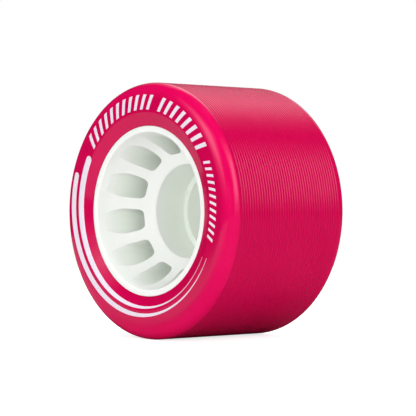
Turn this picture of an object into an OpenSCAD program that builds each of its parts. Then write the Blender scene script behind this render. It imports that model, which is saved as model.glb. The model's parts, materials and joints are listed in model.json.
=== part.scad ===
// Roller skate wheel: a moulded nylon hub with a urethane tyre cast round it.
// The axle runs along Y, the deep cup opens to -Y, and the origin is the wheel's centre.

/* [Tyre] */
// Diameter over the tread
wheel_d = 59; // [56:0.5:66]
// Width between the two side faces
wheel_w = 37; // [35:0.5:42]
// Radial run of the rounded shoulder
shoulder_run = 3.8; // [2.5:0.1:4.5]
// Axial run of the rounded shoulder
shoulder_rise = 3; // [2:0.1:4]
// Radial width of the bevel between the hub and the flat side face
bevel_w = 2.95; // [2:0.05:3.5]
// Radius of the soft edge between the side face and the bevel
bevel_round = 2; // [0.5:0.5:3]
// Distance from one tread groove to the next
groove_pitch = 0.77; // [0.6:0.01:1.5]
// Width of a tread groove
groove_w = 0.35; // [0.3:0.05:0.55]
// Depth of a tread groove
groove_depth = 0.1; // [0.05:0.05:0.4]

/* [Hub barrel] */
// Diameter of the hub's barrel
hub_d = 39.1; // [38.5:0.1:40.5]
// How far the hub's two rims lie below the tyre's side faces
rim_drop = 1.15; // [0.5:0.05:2]
// Number of ring ribs that hold the tyre
ring_count = 3; // [1:1:4]
// Height of a ring rib above the barrel
ring_h = 1.5; // [0.8:0.1:2]
// Width of a ring rib
ring_w = 4; // [2:0.5:5]
// Distance from one ring rib to the next
ring_pitch = 9; // [6:0.5:9]
// Number of key slots across the ring ribs
slot_count = 12; // [6:1:18]
// Width of a key slot
slot_w = 3; // [1.5:0.5:4]
// Height of a key slot's floor above the barrel
slot_floor = 0.4; // [0.2:0.1:0.6]
// Thickness of the adhesive film between hub and tyre
bond_line = 0.05; // [0.03:0.01:0.15]

/* [Front cup] */
// Width of the front rim, from the barrel to the cup's lip
rim_w = 1.45; // [1.2:0.05:1.8]
// Radius of the round at the cup's lip
lip_round = 0.35; // [0.2:0.05:0.6]
// Radial half-axis of the ellipse that curves the cup
cup_run = 11.5; // [9:0.5:13]
// Number of moulded pockets round the cup
pocket_count = 12; // [8:1:12]
// Thickness of the walls between the pockets
land_t = 2.7; // [2.2:0.1:3.4]
// Wall between a pocket and the front bearing seat
pocket_in_wall = 2.5; // [2:0.1:3.5]
// How far the pockets' outer ends stay inside the cup's lip
pocket_margin = 0.15; // [0.1:0.05:0.5]
// Radius of a pocket's inner corners
pocket_in_round = 1.2; // [0.8:0.1:1.5]
// Radius of a pocket's outer corners
pocket_out_round = 1.5; // [0.8:0.1:1.7]
// Depth of the pockets below the mouth of the front bearing seat
pocket_sink = 7; // [3:0.5:8]
// Angle of the first pocket, from +X towards +Z
pocket_turn = 8.3; // [0:0.1:30]

/* [Bearing seats] */
// Outside diameter of a bearing
bearing_d = 22; // [21.5:0.1:22.5]
// Depth of the front seat, from its mouth in the cup to the bearing stop
front_seat_l = 9; // [7:0.1:10]
// Depth of the back seat, from the boss to the bearing stop
back_seat_l = 7; // [6:0.1:7.5]
// Width of the shoulder that stops each bearing
stop_w = 1.35; // [0.8:0.05:2]
// Length of the bearing stop between the two seats
stop_l = 7.5; // [6:0.1:8]
// Chamfer at the mouth of each seat
seat_chamfer = 0.3; // [0.1:0.1:0.5]

/* [Hub back] */
// How far the back boss lies below the tyre's side face
boss_drop = 0.35; // [0.1:0.05:1]
// Wall of the back boss round the back bearing seat
boss_wall = 2.5; // [2:0.1:3]
// Wall between the back wells and the barrel's outside
well_out_wall = 2.15; // [1.8:0.05:2.5]
// Thickness of the web between the front pockets and the back wells
web_t = 3; // [2:0.5:4]
// Thickness of the ribs between the back wells
well_rib_t = 2; // [1.5:0.1:3]
// How far the ribs between the back wells lie below the back rim
well_rib_drop = 1; // [0.5:0.1:2]
// Radius of the soft edges on the back rim and the back boss
back_round = 0.5; // [0.2:0.1:0.8]

/* [Hidden] */
$fn = 96;

// Steps in each small corner arc, in each shoulder and in the cup's curve
arc_steps = 6;
shoulder_steps = 9;
cup_steps = 12;
// How far joined pieces run into each other, and cuts past the faces that they open
lap = 0.5;

wheel_r = wheel_d / 2;
face_y = wheel_w / 2;
tread_half = face_y - shoulder_rise;
groove_count = floor(2 * tread_half / groove_pitch);

hub_r = hub_d / 2;
rim_y = face_y - rim_drop;
bore_r = hub_r + bond_line;

bearing_r = bearing_d / 2;
stop_r = bearing_r - stop_w;
boss_y = face_y - boss_drop;
back_stop_y = boss_y - back_seat_l;
front_stop_y = back_stop_y - stop_l;
seat_mouth_y = front_stop_y - front_seat_l;

lip_r = hub_r - rim_w;
cup_middle_r = lip_r - cup_run;
cup_foot_angle = acos((bearing_r + seat_chamfer - cup_middle_r) / cup_run);
cup_top_y = lip_round - rim_y;
cup_depth = (seat_mouth_y - cup_top_y) / sin(cup_foot_angle);

pocket_in_r = bearing_r + pocket_in_wall;
pocket_out_r = lip_r - pocket_margin;
pocket_end_y = seat_mouth_y + pocket_sink;
well_in_r = bearing_r + boss_wall;
well_out_r = hub_r - well_out_wall;
well_floor_y = pocket_end_y + web_t;

// Unit vector along v
function unit(v) = v / norm(v);

// List of points in the opposite order
function reversed(points) = [for (i = [len(points) - 1:-1:0]) points[i]];

// Points of the arc that rounds the corner at b between a and c
function corner(a, b, c, radius) =
    let (
        u = unit(a - b),
        v = unit(c - b),
        half = acos(u * v) / 2,
        middle = b + unit(u + v) * radius / sin(half),
        first = b + u * radius / tan(half) - middle,
        last = b + v * radius / tan(half) - middle,
        start = atan2(first[1], first[0]),
        turn = atan2(first[0] * last[1] - first[1] * last[0], first * last)
    )
    [for (i = [0:arc_steps])
        let (angle = start + turn * i / arc_steps)
        middle + radius * [cos(angle), sin(angle)]];

// Closed outline of [point, radius] pairs, each corner rounded to its radius or sharp where that is 0
function rounded(corners) =
    let (n = len(corners))
    [for (i = [0:n - 1])
        let (
            before = corners[(i + n - 1) % n][0],
            here = corners[i][0],
            after = corners[(i + 1) % n][0],
            radius = corners[i][1]
        )
        each (radius == 0 ? [here] : corner(before, here, after, radius))];

// Quarter ellipse of one shoulder, from the tread to the side face
function shoulder(side) =
    [for (i = [0:shoulder_steps])
        let (angle = 90 * i / shoulder_steps)
        [wheel_r - shoulder_run * (1 - cos(angle)), side * (tread_half + shoulder_rise * sin(angle))]];

// Side face and bevel, from the end of the shoulder to the tyre's bore
function side_face(side) =
    let (
        outer = [wheel_r - shoulder_run, side * face_y],
        crease = [hub_r + bevel_w, side * face_y],
        inner = [bore_r, side * rim_y]
    )
    concat(corner(outer, crease, inner, bevel_round), [inner]);

// V grooves along the tread, from front to back
function grooves() =
    [for (i = [0:groove_count - 1], step = [-1, 0, 1])
        let (middle = groove_pitch * (i - (groove_count - 1) / 2))
        [wheel_r - (step == 0 ? groove_depth : 0), middle + step * groove_w / 2]];

// Half section of the tyre, as [radius, place along the axle]
function tyre_section() =
    let (
        front = concat(shoulder(-1), side_face(-1)),
        back = concat(shoulder(1), side_face(1))
    )
    concat(reversed(front), grooves(), back);

// Curve of the cup from the mouth of the front bearing seat to the lip, where it runs along the axle
function cup_curve() =
    [for (i = [0:cup_steps - 1])
        let (angle = cup_foot_angle * (1 - i / cup_steps))
        [cup_middle_r + cup_run * cos(angle), cup_top_y + cup_depth * sin(angle)]];

// Half section of the hub between its barrel, cup, bearing seats and back wells
function hub_section() =
    let (
        seats_and_back = rounded([
            [[hub_r, -rim_y], 0],
            [[hub_r, rim_y], 0],
            [[well_out_r, rim_y], back_round],
            [[well_out_r, well_floor_y], back_round],
            [[well_in_r, well_floor_y], back_round],
            [[well_in_r, boss_y], back_round],
            [[bearing_r + seat_chamfer, boss_y], 0],
            [[bearing_r, boss_y - seat_chamfer], 0],
            [[bearing_r, back_stop_y], 0],
            [[stop_r, back_stop_y], 0],
            [[stop_r, front_stop_y], 0],
            [[bearing_r, front_stop_y], 0],
            [[bearing_r, seat_mouth_y + seat_chamfer], 0]
        ]),
        lip = corner([lip_r, 0], [lip_r, -rim_y], [hub_r, -rim_y], lip_round)
    )
    concat(seats_and_back, cup_curve(), lip);

// Cross section of one pocket, out along X from the axle, with walls of even thickness to its neighbours
function pocket_section() =
    let (
        half_turn = 180 / pocket_count,
        wall = land_t / 2 / cos(half_turn),
        inner = [pocket_in_r, pocket_in_r * tan(half_turn) - wall],
        outer = [pocket_out_r, pocket_out_r * tan(half_turn) - wall]
    )
    rounded([
        [[inner[0], -inner[1]], pocket_in_round],
        [[outer[0], -outer[1]], pocket_out_round],
        [outer, pocket_out_round],
        [inner, pocket_in_round]
    ]);

// Lays an upright axle along Y, with its top end at the back
module on_axle() {
    rotate([-90, 0, 0]) children();
}

// Copies of a shape round the upright axle, from the given angle on
module around(count, first_angle) {
    for (i = [0:count - 1])
        rotate([0, 0, -first_angle - 360 / count * i]) children();
}

// Ring ribs with their key slots, grown on every face for the tyre's side of the joint
module ring_ribs(grow) {
    slots_l = ring_pitch * (ring_count - 1) + ring_w + 2 * (grow + lap);
    difference() {
        for (i = [0:ring_count - 1])
            rotate_extrude()
                translate([hub_r - lap, ring_pitch * (i - (ring_count - 1) / 2) - ring_w / 2 - grow])
                    square([ring_h + lap + grow, ring_w + 2 * grow]);
        around(slot_count, pocket_turn)
            translate([hub_r + slot_floor + grow, grow - slot_w / 2, -slots_l / 2])
                cube([ring_h + lap, slot_w - 2 * grow, slots_l]);
    }
}

// Moulded pockets that flute the cup and run on beside the front bearing seat
module pockets() {
    around(pocket_count, pocket_turn)
        translate([0, 0, -rim_y - lap])
            linear_extrude(pocket_end_y + rim_y + lap)
                polygon(pocket_section());
}

// Radial ribs between the back wells, in line with the walls between the pockets
module well_ribs() {
    rib_l = well_out_r - well_in_r + 2 * lap;
    rib_h = rim_y - well_rib_drop - well_floor_y + lap;
    around(pocket_count, pocket_turn + 180 / pocket_count)
        translate([well_in_r - lap, -well_rib_t / 2, well_floor_y - lap])
            cube([rib_l, well_rib_t, rib_h]);
}

module hub() {
    color("white") on_axle()
        difference() {
            union() {
                rotate_extrude() polygon(hub_section());
                ring_ribs(0);
                well_ribs();
            }
            pockets();
        }
}

module tyre() {
    color("crimson") on_axle()
        difference() {
            rotate_extrude() polygon(tyre_section());
            ring_ribs(bond_line);
        }
}

hub();
tyre();
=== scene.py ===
# Roller skate wheel: a white moulded hub with a deep fluted cup, in a red cast tyre with a printed face.
# The axle runs along Y, the cup opens to -Y, Z is up, and the origin is the wheel's centre.
import json
import math

import bmesh
import bpy
from mathutils import Matrix, Vector


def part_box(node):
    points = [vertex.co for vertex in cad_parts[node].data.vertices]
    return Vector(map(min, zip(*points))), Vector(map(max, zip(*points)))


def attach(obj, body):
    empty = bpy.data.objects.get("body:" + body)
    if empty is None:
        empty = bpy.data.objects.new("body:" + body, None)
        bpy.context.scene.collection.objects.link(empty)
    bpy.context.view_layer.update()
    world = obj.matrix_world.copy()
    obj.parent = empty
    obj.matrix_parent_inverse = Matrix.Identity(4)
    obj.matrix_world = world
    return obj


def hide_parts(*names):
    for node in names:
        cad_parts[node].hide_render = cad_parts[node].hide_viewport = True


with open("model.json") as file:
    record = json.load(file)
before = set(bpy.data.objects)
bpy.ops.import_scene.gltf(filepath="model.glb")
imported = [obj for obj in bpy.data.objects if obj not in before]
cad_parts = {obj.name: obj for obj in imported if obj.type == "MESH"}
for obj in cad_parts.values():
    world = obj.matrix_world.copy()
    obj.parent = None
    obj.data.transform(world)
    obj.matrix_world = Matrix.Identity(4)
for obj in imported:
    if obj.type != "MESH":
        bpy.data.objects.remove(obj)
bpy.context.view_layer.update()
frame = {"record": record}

MM = 0.001
AXLE = Vector((0, 1, 0))

# Sizes that the frame gives
mounts = {mount["name"]: mount["dims"] for mount in frame["record"]["mounts"] if mount["kind"] == "bore"}
wheel_r = min(-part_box("tyre")[0].x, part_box("tyre")[1].z)
face_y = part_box("tyre")[1].y
rim_y = -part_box("hub")[0].y
boss_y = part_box("hub")[1].y
bearing_r = mounts["front_bearing_seat"]["r_mm"] * MM
stop_r = mounts["axle_passage"]["r_mm"] * MM

# Tyre
shoulder_run = 3.8 * MM
shoulder_rise = 3 * MM
bevel_w = 2.95 * MM
bevel_round = 2 * MM
groove_pitch = 0.77 * MM
groove_w = 0.35 * MM
groove_depth = 0.1 * MM
groove_steps = 6

# Hub barrel and the ring ribs that hold the tyre
hub_r = 19.55 * MM
ring_count = 3
ring_h = 1.5 * MM
ring_w = 4 * MM
ring_pitch = 9 * MM
slot_w = 3 * MM
slot_floor = 0.4 * MM
bond_line = 0.05 * MM

# Front cup and its pockets, whose turn round the axle is in degrees
rim_w = 1.45 * MM
lip_round = 0.35 * MM
cup_run = 11.5 * MM
cup_steps = 14
pocket_count = 12
land_t = 2.7 * MM
pocket_in_wall = 2.5 * MM
pocket_margin = 0.15 * MM
pocket_in_round = 1.2 * MM
pocket_out_round = 1.5 * MM
pocket_sink = 7 * MM
pocket_edge = 0.2 * MM
pocket_end_edge = 0.02 * MM
pocket_turn = 8.3

# Bearing seats and the hub's back
front_seat_l = 9 * MM
back_seat_l = 7 * MM
stop_l = 7.5 * MM
seat_chamfer = 0.3 * MM
boss_wall = 2.5 * MM
well_out_wall = 2.15 * MM
web_t = 3 * MM
well_rib_t = 2 * MM
well_rib_drop = 1 * MM
back_round = 0.5 * MM
edge_round = 0.15 * MM

# Print on the front face, a film whose top is level with the face's outermost plane
ink_t = 0.03 * MM
ink_root = 0.05 * MM
print_middle = Vector((-0.24, 0, 1.05)) * MM

# Derived sizes
sector = math.radians(360 / pocket_count)
tread_half = face_y - shoulder_rise
groove_count = math.floor(2 * tread_half / groove_pitch)
bore_r = hub_r + bond_line
back_stop_y = boss_y - back_seat_l
front_stop_y = back_stop_y - stop_l
seat_mouth_y = front_stop_y - front_seat_l
lip_r = hub_r - rim_w
cup_foot_r = bearing_r + seat_chamfer
cup_middle_r = lip_r - cup_run
cup_foot_angle = math.acos((cup_foot_r - cup_middle_r) / cup_run)
cup_top_y = lip_round - rim_y
cup_depth = (seat_mouth_y - cup_top_y) / math.sin(cup_foot_angle)
pocket_end_y = seat_mouth_y + pocket_sink
pocket_in_r = bearing_r + pocket_in_wall
pocket_out_r = lip_r - pocket_margin
well_in_r = bearing_r + boss_wall
well_out_r = hub_r - well_out_wall
well_floor_y = pocket_end_y + web_t
well_rib_y = rim_y - well_rib_drop

# Direction of the photograph's view, in degrees
camera_azimuth = 47.877
camera_elevation = 0.108

# Fineness of the meshes
corner_steps = 6
shoulder_steps = 14
tyre_side_steps = 6
tyre_key_steps = 4
hub_rib_steps = 2
hub_plain_steps = 4
half_slot_steps = 2
merge_gap = 0.002 * MM
same_angle = math.radians(0.01)
sharp_angle = math.radians(35)

# Range of a noise texture that the finishes use
noise_low = 0.3
noise_high = 0.7


# Outlines

def corner(before, here, after, radius, steps=corner_steps):
    """Points of the arc that rounds the corner at here."""
    before, here, after = Vector(before), Vector(here), Vector(after)
    towards = (before - here).normalized()
    onwards = (after - here).normalized()
    half = towards.angle(onwards) / 2
    middle = here + (towards + onwards).normalized() * radius / math.sin(half)
    first = here + towards * radius / math.tan(half) - middle
    last = here + onwards * radius / math.tan(half) - middle
    turn = math.atan2(first.x * last.y - first.y * last.x, first.dot(last))
    return [middle + Matrix.Rotation(turn * i / steps, 2) @ first for i in range(steps + 1)]


def rounded(corners):
    """An open outline of (point, radius) pairs, with every corner that has a radius rounded to it."""
    outline = []
    for i, (here, radius) in enumerate(corners):
        if radius == 0:
            outline.append(Vector(here))
        else:
            outline += corner(corners[i - 1][0], here, corners[i + 1][0], radius)
    return outline


def arc_place(angle, radius, y):
    """A point in the wheel's frame, at an angle from +X towards +Z round the axle."""
    return Vector((radius * math.cos(angle), y, radius * math.sin(angle)))


# Swept sectors

def swept_sector(bm, stages, closed):
    """One sector of a turned body, centred on +X. Each stage has its own half section and runs on from the
    last by its own angle, and flat walls close the steps between the sections."""
    angle = -sum(turn for _, turn, _ in stages) / 2
    step_angles = []
    for outline, turn, steps in stages:
        verts = [bm.verts.new(arc_place(angle, r, y)) for r, y in outline]
        edges = [bm.edges.new(pair) for pair in zip(verts, verts[1:])]
        if closed:
            edges.append(bm.edges.new((verts[-1], verts[0])))
        bmesh.ops.spin(bm, geom=verts + edges, cent=(0, 0, 0), axis=-AXLE, angle=turn, steps=steps)
        angle += turn
        step_angles.append(angle)
    bmesh.ops.remove_doubles(bm, verts=bm.verts[:], dist=merge_gap)
    for wall_angle in step_angles[:-1]:
        open_edges = [edge for edge in bm.edges if edge.is_boundary]
        wall_edges = [edge for edge in open_edges if all(at_angle(vert, wall_angle) for vert in edge.verts)]
        bmesh.ops.holes_fill(bm, edges=wall_edges)


def at_angle(vert, angle):
    """Whether a vertex lies at that angle round the axle."""
    return abs(math.atan2(vert.co.z, vert.co.x) - angle) < same_angle


def turned_copies(bm):
    """Repeats the sector round the axle and joins the copies into one closed skin."""
    others = pocket_count - 1
    geom = bm.verts[:] + bm.edges[:] + bm.faces[:]
    bmesh.ops.spin(
        bm, geom=geom, cent=(0, 0, 0), axis=-AXLE, angle=sector * others, steps=others, use_duplicate=True
    )
    bmesh.ops.remove_doubles(bm, verts=bm.verts[:], dist=merge_gap)
    bmesh.ops.rotate(
        bm, verts=bm.verts[:], cent=(0, 0, 0), matrix=Matrix.Rotation(math.radians(-pocket_turn), 3, AXLE)
    )
    bmesh.ops.recalc_face_normals(bm, faces=bm.faces[:])


def finished(bm, name, material):
    """Turns a bmesh into a piece that rides on the wheel, smooth apart from its sharp edges."""
    mesh = bpy.data.meshes.new(name)
    bm.to_mesh(mesh)
    bm.free()
    mesh.shade_smooth()
    mesh.set_sharp_from_angle(angle=sharp_angle)
    mesh.materials.append(material)
    piece = bpy.data.objects.new(name, mesh)
    bpy.context.scene.collection.objects.link(piece)
    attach(piece, "root")
    return piece


# Section shared by the hub's ring ribs and the tyre's channels

def ring_steps(grow, keyed):
    """Ring ribs along the barrel from front to back, grown on every face, with the ribs cut down to the key
    slots' floor where keyed."""
    base_r = hub_r + grow
    step_r = base_r + slot_floor
    top_r = base_r + ring_h
    outline = []
    for i in range(ring_count):
        middle = ring_pitch * (i - (ring_count - 1) / 2)
        front = middle - ring_w / 2 - grow
        back = middle + ring_w / 2 + grow
        outline += [(base_r, front), (step_r, front)]
        if not keyed:
            outline += [(top_r, front), (top_r, back)]
        outline += [(step_r, back), (base_r, back)]
    return outline


# Tyre

def side_outline():
    """Front side of the tyre, from its bore over the bevel, the flat face and the shoulder to the tread."""
    inner = (bore_r, -rim_y)
    crease = (hub_r + bevel_w, ink_t - face_y)
    outer = (wheel_r - shoulder_run, ink_t - face_y)
    rise = shoulder_rise - ink_t
    shoulder = []
    for i in range(shoulder_steps + 1):
        angle = math.pi / 2 * i / shoulder_steps
        shoulder.append((outer[0] + shoulder_run * math.sin(angle), -tread_half - rise * math.cos(angle)))
    return [inner] + [tuple(p) for p in corner(inner, crease, outer, bevel_round)] + shoulder


def tread_grooves():
    """Rounded grooves along the tread, from front to back."""
    outline = []
    for i in range(groove_count):
        middle = groove_pitch * (i - (groove_count - 1) / 2)
        for step in range(groove_steps + 1):
            share = step / groove_steps
            depth = groove_depth * (1 - math.cos(2 * math.pi * share)) / 2
            outline.append((wheel_r - depth, middle + groove_w * (share - 0.5)))
    return outline


def tyre_section(keyed):
    """Closed half section of the tyre."""
    front = side_outline()
    back = [(r, -y) for r, y in reversed(front)]
    return front + tread_grooves() + back + ring_steps(bond_line, keyed)[::-1]


def make_tyre(material):
    """The tyre, with keys in its bore that fill the slots of the hub's ribs."""
    bm = bmesh.new()
    key_turn = 2 * math.asin((slot_w / 2 - bond_line) / (hub_r + ring_h))
    side_turn = (sector - key_turn) / 2
    plain = (tyre_section(keyed=False), side_turn, tyre_side_steps)
    key = (tyre_section(keyed=True), key_turn, tyre_key_steps)
    swept_sector(bm, [plain, key, plain], closed=True)
    turned_copies(bm)
    piece = finished(bm, "urethane_tyre", material)
    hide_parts("tyre")


# Hub

def cup_y(radius):
    """Place along the axle of the cup's curve at a radius. The curve is an ellipse that meets the lip
    along the axle."""
    share = min(1, (radius - cup_middle_r) / cup_run)
    return cup_top_y + cup_depth * math.sqrt(1 - share ** 2)


def hub_section(keyed, ribbed):
    """Open half section of the hub, from the foot of the cup through the bearing seats, the back and the
    barrel to the cup's lip."""
    seats = [
        ((cup_foot_r, seat_mouth_y), 0),
        ((bearing_r, seat_mouth_y + seat_chamfer), 0),
        ((bearing_r, front_stop_y), edge_round),
        ((stop_r, front_stop_y), edge_round),
        ((stop_r, back_stop_y), edge_round),
        ((bearing_r, back_stop_y), edge_round),
        ((bearing_r, boss_y - seat_chamfer), 0),
        ((bearing_r + seat_chamfer, boss_y), 0),
        ((well_in_r, boss_y), back_round),
        ((well_in_r, well_rib_y), 0),
    ]
    well = [((well_in_r, well_floor_y), back_round), ((well_out_r, well_floor_y), back_round)]
    back = [
        ((well_out_r, well_rib_y), 0),
        ((well_out_r, rim_y), back_round),
        ((hub_r, rim_y), edge_round),
    ]
    front_edge = corner((hub_r, rim_y), (hub_r, -rim_y), (lip_r, -rim_y), edge_round)
    lip_arc = corner((lip_r, 0), (lip_r, -rim_y), (hub_r, -rim_y), lip_round)
    barrel = ring_steps(0, keyed)
    barrel_end = [((hub_r, -rim_y), 0)]
    inner = rounded(seats + ([] if ribbed else well) + back + barrel_end)[:-1]
    outline = inner + barrel[::-1] + front_edge + lip_arc[::-1]
    return [tuple(p) for p in outline]


def pocket_outline(grow, end_grow):
    """Half outline of a pocket in (outward, sideways) places, from its inner middle to its outer middle,
    with walls of even thickness to its neighbours."""
    inner_steps = 7
    outer_steps = 8
    edge_steps = 5
    side_steps = 6
    slope = math.tan(sector / 2)
    wall = (land_t / 2 - grow) / math.cos(sector / 2)
    inner_r = pocket_in_r - grow
    outer_r = pocket_out_r + end_grow
    inner = (inner_r, inner_r * slope - wall)
    outer = (outer_r, outer_r * slope - wall)
    inner_arc = corner((inner_r, 0), inner, outer, pocket_in_round + grow, inner_steps)
    outer_arc = corner(inner, outer, (outer_r, 0), pocket_out_round + grow, outer_steps)
    inner_edge = [Vector((inner_r, inner_arc[0].y * i / edge_steps)) for i in range(edge_steps)]
    outer_edge = [Vector((outer_r, outer_arc[-1].y * i / edge_steps)) for i in range(edge_steps)]
    side = [inner_arc[-1].lerp(outer_arc[0], i / side_steps) for i in range(1, side_steps)]
    return inner_edge + inner_arc + side + outer_arc + outer_edge[::-1]


def sector_border(angles):
    """Half outline of a sector of the cup, from its inner middle round to its outer middle."""
    half = sector / 2
    side_angles = [cup_foot_angle * (1 - i / cup_steps) for i in range(1, cup_steps)]
    polar = [(cup_foot_r, a) for a in angles]
    polar += [(cup_middle_r + cup_run * math.cos(a), half) for a in side_angles]
    polar += [(lip_r, a) for a in reversed(angles)]
    return [Vector((r * math.cos(a), r * math.sin(a))) for r, a in polar]


def loop_on(bm, half_outline, height):
    """Closed loop of edges over a half outline and its mirror image, with a height for each point."""
    points = half_outline + [Vector((p.x, -p.y)) for p in half_outline[-2:0:-1]]
    verts = [bm.verts.new((p.x, height(p), p.y)) for p in points]
    return [bm.edges.new(pair) for pair in zip(verts, verts[1:] + verts[:1])]


def on_cup(point):
    """Height of the cup's curve over a point of a pocket's outline."""
    return cup_y(point.length)


def pocket_wall(bm, angles):
    """One sector of the cup with its pocket: the cup's skin, the pocket's soft edge, walls and floor. The
    edge stays crisp at the outer end, where the pocket runs out into the cup."""
    skin_cuts = 5
    edge_steps = 4
    floor_steps = 3
    rim = pocket_outline(pocket_edge, pocket_end_edge)
    edge = pocket_outline(0, 0)
    border_loop = loop_on(bm, sector_border(angles), on_cup)
    rim_loop = loop_on(bm, rim, on_cup)
    skin = bmesh.ops.bridge_loops(bm, edges=border_loop + rim_loop)
    rings = bmesh.ops.subdivide_edges(bm, edges=skin["edges"], cuts=skin_cuts, use_grid_fill=True)
    for vert in rings["geom_inner"]:
        if isinstance(vert, bmesh.types.BMVert):
            vert.co.y = cup_y(math.hypot(vert.co.x, vert.co.z))
    loop = rim_loop
    for i in range(1, edge_steps + 1):
        share = i / edge_steps
        ring = [a.lerp(b, share * (2 - share)) for a, b in zip(rim, edge)]
        sink = pocket_edge * share ** 2
        next_loop = loop_on(bm, ring, lambda p, sink=sink: on_cup(p) + sink)
        bmesh.ops.bridge_loops(bm, edges=loop + next_loop)
        loop = next_loop
    floor_loop = loop_on(bm, edge, lambda p: pocket_end_y)
    bmesh.ops.bridge_loops(bm, edges=loop + floor_loop)
    bmesh.ops.holes_fill(bm, edges=floor_loop)
    bmesh.ops.bevel(
        bm, geom=floor_loop, offset=back_round, offset_type="OFFSET", affect="EDGES", segments=floor_steps,
        profile=0.5, material=-1, clamp_overlap=True
    )


def make_hub(material):
    """The hub. Its cup's foot and lip are divided at the same angles as the swept sector that they join."""
    bm = bmesh.new()
    slot_turn = 2 * math.asin(slot_w / 2 / (hub_r + ring_h))
    rib_turn = math.asin(well_rib_t / (well_in_r + well_out_r))
    plain_turn = sector / 2 - slot_turn / 2 - rib_turn
    rib = (hub_section(keyed=False, ribbed=True), rib_turn, hub_rib_steps)
    plain = (hub_section(keyed=False, ribbed=False), plain_turn, hub_plain_steps)
    slot = (hub_section(keyed=True, ribbed=False), slot_turn, 2 * half_slot_steps)
    swept_sector(bm, [rib, plain, slot, plain, rib], closed=False)
    angles = [slot_turn / 2 * i / half_slot_steps for i in range(half_slot_steps)]
    angles += [slot_turn / 2 + plain_turn * i / hub_plain_steps for i in range(hub_plain_steps)]
    angles += [sector / 2 - rib_turn + rib_turn * i / hub_rib_steps for i in range(hub_rib_steps + 1)]
    pocket_wall(bm, angles)
    bmesh.ops.remove_doubles(bm, verts=bm.verts[:], dist=merge_gap)
    turned_copies(bm)
    piece = finished(bm, "moulded_hub", material)
    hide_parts("hub")


# Print on the front face

face_outline = side_outline()


def face_height(radius):
    """Place along the axle of the tyre's front side at a radius."""
    for (r0, y0), (r1, y1) in zip(face_outline, face_outline[1:]):
        if r0 <= radius <= r1 and r1 > r0:
            return y0 + (y1 - y0) * (radius - r0) / (r1 - r0)
    return face_outline[-1][1]


def on_print(radius, degrees):
    """A point of the front face at a radius and angle about the print's middle, from -X towards +Z."""
    angle = math.radians(degrees)
    point = print_middle + Vector((-radius * math.cos(angle), 0, radius * math.sin(angle)))
    point.y = face_height(point.length)
    return point


def printed_patch(bm, along, across, place):
    """A film of ink: a grid laid on the face by place(u, v), both from 0 to 1, and given its thickness."""
    grid = bmesh.ops.create_grid(bm, x_segments=along, y_segments=across, size=0.5)
    verts = grid["verts"]
    for vert in verts:
        vert.co = place(vert.co.x + 0.5, vert.co.y + 0.5) + Vector((0, ink_root, 0))
    faces = {face for vert in verts for face in vert.link_faces}
    top = bmesh.ops.extrude_face_region(bm, geom=list(faces))
    top_verts = [item for item in top["geom"] if isinstance(item, bmesh.types.BMVert)]
    bmesh.ops.translate(bm, verts=top_verts, vec=(0, -ink_root - ink_t, 0))


def make_stripe(name, material, start, end, inner_edge, outer_edge):
    """A tapering stripe between two edges, with a round start and a hairline end. Its grid is finer towards
    the start."""
    bm = bmesh.new()
    cap = (outer_edge(start) - inner_edge(start)) / 2
    cap_turn = math.degrees(cap / inner_edge(start))
    tail_turn = 75
    hairline = 0.2

    def place(u, v):
        degrees = start + (end - start) * u ** 2
        run = min(1, abs(degrees - start) / cap_turn)
        left = min(1, abs(degrees - end) / tail_turn)
        fullness = math.sqrt(1 - (1 - run) ** 2) * max(hairline, math.sqrt(left))
        inner = inner_edge(degrees)
        outer = outer_edge(degrees)
        radius = (inner + outer) / 2 + (outer - inner) * (v - 0.5) * fullness
        return on_print(radius, degrees)

    printed_patch(bm, along=160, across=6, place=place)
    bmesh.ops.remove_doubles(bm, verts=bm.verts[:], dist=merge_gap)
    bmesh.ops.recalc_face_normals(bm, faces=bm.faces[:])
    finished(bm, name, material)


def off_centre(radius, shift, towards):
    """Edge of a circle whose middle is shifted from the print's middle towards an angle."""
    return lambda degrees: radius + shift * math.cos(math.radians(degrees - towards))


def make_bars(name, material, first, last, count, low_r, high_r, width, lean):
    """A row of leaning bars round the face."""
    bm = bmesh.new()
    middle_r = (low_r + high_r) / 2
    for i in range(count):
        degrees = first + (last - first) * i / (count - 1)

        def place(u, v):
            radius = low_r + (high_r - low_r) * u
            side = (v - 0.5) * width + (radius - middle_r) * math.tan(math.radians(lean))
            return on_print(radius, degrees + math.degrees(side / middle_r))

        printed_patch(bm, along=8, across=2, place=place)
    bmesh.ops.recalc_face_normals(bm, faces=bm.faces[:])
    finished(bm, name, material)


# Finishes

def shader_nodes(name):
    """A new material with its node tree and its shader."""
    material = bpy.data.materials.new(name)
    material.use_nodes = True
    tree = material.node_tree
    return material, tree, tree.nodes["Principled BSDF"]


def noise(tree, scale, detail):
    """Noise over the piece's own coordinates."""
    coords = tree.nodes.new("ShaderNodeTexCoord")
    texture = tree.nodes.new("ShaderNodeTexNoise")
    texture.inputs["Scale"].default_value = scale
    texture.inputs["Detail"].default_value = detail
    tree.links.new(coords.outputs["Object"], texture.inputs["Vector"])
    return texture.outputs["Fac"]


def colour_between(tree, factor, low, high):
    """A colour that goes from low to high over the range of a noise."""
    ramp = tree.nodes.new("ShaderNodeValToRGB")
    ramp.color_ramp.elements[0].position = noise_low
    ramp.color_ramp.elements[0].color = (*low, 1)
    ramp.color_ramp.elements[1].position = noise_high
    ramp.color_ramp.elements[1].color = (*high, 1)
    tree.links.new(factor, ramp.inputs["Fac"])
    return ramp.outputs["Color"]


def value_between(tree, factor, low, high, start=noise_low, end=noise_high):
    """A number that goes from low to high while the factor goes from start to end."""
    span = tree.nodes.new("ShaderNodeMapRange")
    span.inputs["From Min"].default_value = start
    span.inputs["From Max"].default_value = end
    span.inputs["To Min"].default_value = low
    span.inputs["To Max"].default_value = high
    tree.links.new(factor, span.inputs["Value"])
    return span.outputs["Result"]


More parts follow.
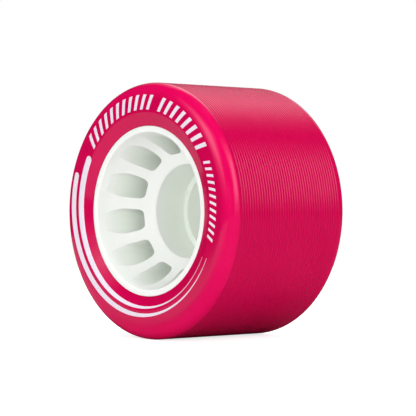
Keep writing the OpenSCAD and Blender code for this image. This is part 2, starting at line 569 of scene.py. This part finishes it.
def calculated(tree, operation, *values):
    """The result of a math node, from numbers and other nodes' results."""
    node = tree.nodes.new("ShaderNodeMath")
    node.operation = operation
    for socket, value in zip(node.inputs, values):
        if isinstance(value, bpy.types.NodeSocket):
            tree.links.new(value, socket)
        else:
            socket.default_value = value
    return node.outputs["Value"]


def mixed_colour(tree, factor, first, second):
    """First colour where the factor is 0, second colour where it is 1."""
    mix = tree.nodes.new("ShaderNodeMix")
    mix.data_type = "RGBA"
    tree.links.new(factor, mix.inputs["Factor"])
    tree.links.new(first, mix.inputs["A"])
    tree.links.new(second, mix.inputs["B"])
    return mix.outputs["Result"]


def place_round_axle(tree):
    """Radius from the axle and place along it."""
    coords = tree.nodes.new("ShaderNodeTexCoord")
    parts = tree.nodes.new("ShaderNodeSeparateXYZ")
    tree.links.new(coords.outputs["Object"], parts.inputs["Vector"])
    x, y, z = parts.outputs
    squares = calculated(tree, "MULTIPLY_ADD", x, x, calculated(tree, "MULTIPLY", z, z))
    return calculated(tree, "SQRT", squares), y


def hub_depth(tree):
    """Depth in the hub's recesses, below the curve of the cup or below the back."""
    radius, y = place_round_axle(tree)
    share = value_between(tree, radius, math.cos(cup_foot_angle), 1, cup_foot_r, lip_r)
    square = calculated(tree, "MULTIPLY", share, share)
    drop = calculated(tree, "SQRT", calculated(tree, "SUBTRACT", 1, square))
    cup = calculated(tree, "MULTIPLY_ADD", drop, cup_depth, cup_top_y)
    below_cup = calculated(tree, "SUBTRACT", y, cup)
    below_back = calculated(tree, "SUBTRACT", boss_y, y)
    return calculated(tree, "MINIMUM", below_cup, below_back)


def painted_shade_and_light_zones(tree):
    """Shares from 0 to 1 of the tread's grooves, where shade is painted, and of the rounded shoulders,
    where light is painted, from places on the tyre.
    """
    groove_core = 0.4 * groove_w
    groove_fade = 0.7 * groove_w
    radius, y = place_round_axle(tree)
    aside = calculated(tree, "ABSOLUTE", y)
    tread = value_between(tree, aside, 1, 0, tread_half, tread_half + groove_w)
    outside = value_between(tree, radius, 0, 1, wheel_r - shoulder_run, wheel_r - shoulder_run / 2)
    from_first = calculated(tree, "ADD", y, groove_pitch * (groove_count - 1) / 2)
    from_groove = calculated(tree, "PINGPONG", from_first, groove_pitch / 2)
    cut = value_between(tree, from_groove, 1, 0, groove_core, groove_fade)
    grooves = calculated(tree, "MULTIPLY", calculated(tree, "MULTIPLY", cut, tread), outside)
    shoulders = calculated(tree, "MULTIPLY", calculated(tree, "SUBTRACT", 1, tread), outside)
    return grooves, shoulders


def fine_relief(tree, factor, height, strength):
    """A bump from the factor, with its real height."""
    bump = tree.nodes.new("ShaderNodeBump")
    bump.inputs["Strength"].default_value = strength
    bump.inputs["Distance"].default_value = height
    tree.links.new(factor, bump.inputs["Height"])
    return bump.outputs["Normal"]


def cast_urethane():
    """Glossy red urethane with a faint cloudiness and the fine skin of its mould. Painted light makes it
    brighter on its rounded shoulders, and painted shade makes it darker in the grooves of its tread."""
    material, tree, shader = shader_nodes("cast_urethane")
    cloud = noise(tree, scale=120, detail=4)
    skin = noise(tree, scale=2200, detail=3)
    grooves, shoulders = painted_shade_and_light_zones(tree)
    body = colour_between(tree, cloud, (0.600, 0.0005, 0.072), (0.625, 0.001, 0.077))
    # Painted light: a paler red for the rounded shoulders
    painted_shoulder_light = colour_between(tree, cloud, (0.710, 0.0008, 0.091), (0.740, 0.0015, 0.097))
    # Painted shade: a darker red for the grooves of the tread
    painted_groove_shade = colour_between(tree, cloud, (0.575, 0.0005, 0.067), (0.600, 0.001, 0.071))
    colour = mixed_colour(tree, grooves, mixed_colour(tree, shoulders, body, painted_shoulder_light), painted_groove_shade)
    tree.links.new(colour, shader.inputs["Base Color"])
    tree.links.new(value_between(tree, cloud, 0.08, 0.11), shader.inputs["Roughness"])
    relief = fine_relief(tree, skin, height=0.001 * MM, strength=0.1)
    tree.links.new(relief, shader.inputs["Normal"])
    shader.inputs["Specular IOR Level"].default_value = 1.0
    shader.inputs["Specular Tint"].default_value = (1.0, 0.62, 0.78, 1)
    return material


def moulded_nylon():
    """White nylon with a satin skin, with a faint green painted shade that grows with depth in its
    recesses, for light bounced inside them.
    """
    material, tree, shader = shader_nodes("moulded_nylon")
    cloud = noise(tree, scale=90, detail=3)
    skin = noise(tree, scale=1800, detail=3)
    outside = colour_between(tree, cloud, (0.910, 0.930, 0.904), (0.925, 0.946, 0.919))
    # Painted shade: a greener, slightly darker white for the recesses
    painted_recess_tint = colour_between(tree, cloud, (0.882, 0.928, 0.862), (0.897, 0.943, 0.877))
    full_depth = 4 * MM
    depth = value_between(tree, hub_depth(tree), 0, 1, 0, full_depth)
    tree.links.new(mixed_colour(tree, depth, outside, painted_recess_tint), shader.inputs["Base Color"])
    tree.links.new(value_between(tree, cloud, 0.38, 0.46), shader.inputs["Roughness"])
    relief = fine_relief(tree, skin, height=0.003 * MM, strength=0.3)
    tree.links.new(relief, shader.inputs["Normal"])
    shader.inputs["Specular IOR Level"].default_value = 0.4
    return material


def pad_ink():
    """Pale ink with the fine grain of a printed film."""
    material, tree, shader = shader_nodes("pad_ink")
    grain = noise(tree, scale=2500, detail=2)
    colour = colour_between(tree, grain, (0.78, 0.70, 0.82), (0.84, 0.77, 0.87))
    tree.links.new(colour, shader.inputs["Base Color"])
    tree.links.new(value_between(tree, grain, 0.4, 0.5), shader.inputs["Roughness"])
    shader.inputs["Specular IOR Level"].default_value = 0.3
    return material


# Stage

def direction(azimuth, elevation):
    """Unit vector from the wheel: azimuth 0 is the front, 90 is +X, and elevation is above the floor."""
    turn = math.radians(azimuth)
    rise = math.radians(elevation)
    return Vector((math.sin(turn) * math.cos(rise), -math.cos(turn) * math.cos(rise), math.sin(rise)))


def seen_share(tree):
    """1 for rays that the camera, a reflection or a clear piece sees, and 0 for the light itself."""
    path = tree.nodes.new("ShaderNodeLightPath")
    total = path.outputs["Is Camera Ray"]
    for ray in ("Is Glossy Ray", "Is Transmission Ray"):
        total = calculated(tree, "MAXIMUM", total, path.outputs[ray])
    return total


def make_floor(half_size, colour, near_grey, far_grey, far_azimuth, far_distance, glow):
    """A pale floor under the wheel that reads as white and keeps the wheel's shadow. The gloss of the wheel
    mirrors it as a darker grey, which pales towards one side."""
    bm = bmesh.new()
    bmesh.ops.create_grid(bm, x_segments=1, y_segments=1, size=half_size)
    bmesh.ops.translate(bm, verts=bm.verts[:], vec=(0, 0, -wheel_r))
    mesh = bpy.data.meshes.new("floor")
    bm.to_mesh(mesh)
    bm.free()
    material, tree, shader = shader_nodes("pale_floor")
    path = tree.nodes.new("ShaderNodeLightPath")
    coords = tree.nodes.new("ShaderNodeTexCoord")
    along = tree.nodes.new("ShaderNodeVectorMath")
    along.operation = "DOT_PRODUCT"
    along.inputs[1].default_value = direction(far_azimuth, 0)
    tree.links.new(coords.outputs["Object"], along.inputs[0])
    mirrored = value_between(tree, along.outputs["Value"], near_grey, far_grey, 0, far_distance)
    darker = calculated(tree, "SUBTRACT", mirrored, colour)
    grey = calculated(tree, "MULTIPLY_ADD", path.outputs["Is Glossy Ray"], darker, colour)
    tree.links.new(grey, shader.inputs["Base Color"])
    shader.inputs["Roughness"].default_value = 0.9
    shader.inputs["Specular IOR Level"].default_value = 0
    shader.inputs["Emission Color"].default_value = (1, 1, 1, 1)
    strength = calculated(tree, "MULTIPLY", path.outputs["Is Camera Ray"], glow)
    tree.links.new(strength, shader.inputs["Emission Strength"])
    mesh.materials.append(material)
    floor = bpy.data.objects.new("floor", mesh)
    bpy.context.scene.collection.objects.link(floor)


def make_world(fill):
    """Even fill light, with a white surround for what is seen."""
    world = bpy.data.worlds.new("studio")
    world.use_nodes = True
    tree = world.node_tree
    back = tree.nodes["Background"]
    back.inputs["Color"].default_value = (1, 1, 1, 1)
    strength = value_between(tree, seen_share(tree), fill, 1, 0, 1)
    tree.links.new(strength, back.inputs["Strength"])
    bpy.context.scene.world = world


def make_softbox(name, azimuth, elevation, distance, size, brightness, mirrored=True):
    """A rectangular softbox at a distance from the wheel, turned towards it, as nested panels that add up
    to its brightness in the middle. Each panel stands a step in front of the larger one, because light
    from panels in one plane gets lost. A softbox that isn't mirrored lights the wheel but leaves no
    reflection."""
    shares = (1, 0.8, 0.6, 0.45, 0.3)
    step = 5 * MM
    weights = range(1, len(shares) + 1)
    for share, weight in zip(shares, weights):
        lamp = bpy.data.lights.new(f"{name}_{weight}", "AREA")
        lamp.shape = "RECTANGLE"
        lamp.size = size[0] * share
        lamp.size_y = size[1] * share
        lamp.energy = brightness * weight / sum(weights) * math.pi * lamp.size * lamp.size_y
        panel = bpy.data.objects.new(f"{name}_{weight}", lamp)
        panel.location = direction(azimuth, elevation) * (distance - weight * step)
        panel.rotation_euler = (-direction(azimuth, elevation)).to_track_quat("-Z", "Y").to_euler()
        panel.visible_glossy = mirrored
        bpy.context.scene.collection.objects.link(panel)


def make_dim_room(radius, grey):
    """The unlit room round the wheel, which only the wheel's gloss shows and which shades nothing."""
    bm = bmesh.new()
    bmesh.ops.create_uvsphere(bm, u_segments=48, v_segments=24, radius=radius)
    mesh = bpy.data.meshes.new("dim_room")
    bm.to_mesh(mesh)
    bm.free()
    material, _, shader = shader_nodes("dark_cloth")
    shader.inputs["Base Color"].default_value = (grey, grey, grey, 1)
    shader.inputs["Specular IOR Level"].default_value = 0
    mesh.materials.append(material)
    room = bpy.data.objects.new("dim_room", mesh)
    room.visible_camera = False
    room.visible_diffuse = False
    room.visible_shadow = False
    bpy.context.scene.collection.objects.link(room)


def make_camera():
    """The photograph's view: level with the axle, from the front right."""
    back = direction(camera_azimuth, camera_elevation)
    distance = 435.2 * MM
    aim = Vector((0, -0.25, 0)) * MM
    data = bpy.data.cameras.new("camera")
    data.lens = 160.16
    data.sensor_width = 36
    data.shift_x = 0.01386
    data.shift_y = 0.0072
    data.clip_start = 0.01
    data.clip_end = 50
    camera = bpy.data.objects.new("camera", data)
    camera.location = aim + back * distance
    camera.rotation_euler = (-back).to_track_quat("-Z", "Y").to_euler()
    bpy.context.scene.collection.objects.link(camera)
    bpy.context.scene.camera = camera


# Wheel

urethane = cast_urethane()
ink = pad_ink()
make_tyre(urethane)
make_hub(moulded_nylon())

# Two stripes, each from a start to an end in degrees, with a plain gap between them
stripes_outside = off_centre(25.43 * MM, 0.68 * MM, 10)
gap_outside = off_centre(24.44 * MM, 0, 0)
gap_inside = off_centre(23.40 * MM, 0, 0)
stripes_inside = off_centre(22.34 * MM, -0.75 * MM, 35)
make_stripe("outer_stripe", ink, 18.75, -152.4, gap_outside, stripes_outside)
make_stripe("inner_stripe", ink, 31.75, -151.3, stripes_inside, gap_inside)

# Rows of bars, each from its first to its last bar in degrees, with its count of bars
bar_lean = 20
large_bar = {"low_r": 22.2 * MM, "high_r": 25.6 * MM, "width": 1.0 * MM, "lean": bar_lean}
small_bar = {"low_r": 22.9 * MM, "high_r": 24.9 * MM, "width": 0.6 * MM, "lean": bar_lean}
make_bars("wide_bars", ink, 40, 96, 11, **large_bar)
make_bars("middle_bars", ink, 106, 146, 8, **large_bar)
make_bars("small_bars", ink, 156, 197, 12, **small_bar)

# Stage, in metres and degrees
make_floor(
    half_size=0.4, colour=0.8, near_grey=0.06, far_grey=0.3, far_azimuth=-70, far_distance=0.08, glow=0.75
)
make_world(fill=0.46)
make_dim_room(radius=1.6, grey=0.015)

# Softboxes: azimuth, elevation, distance, size and brightness
make_softbox("left_softbox", -10, 27, 0.9, (0.73, 0.76), 1.6)
make_softbox("right_softbox", 86, 27, 0.9, (1.0, 1.1), 1.85)
make_softbox("top_softbox", -145, 46, 0.8, (0.95, 0.85), 1.4)
make_softbox("front_softbox", 25, 10, 0.9, (0.4, 0.3), 19, mirrored=False)
make_softbox("side_softbox", 75, 10, 0.9, (0.4, 0.3), 7.5, mirrored=False)
make_softbox("overhead_softbox", 48, 85, 0.9, (0.4, 0.3), 28, mirrored=False)
make_camera()
bpy.context.scene.view_settings.view_transform = "Standard"
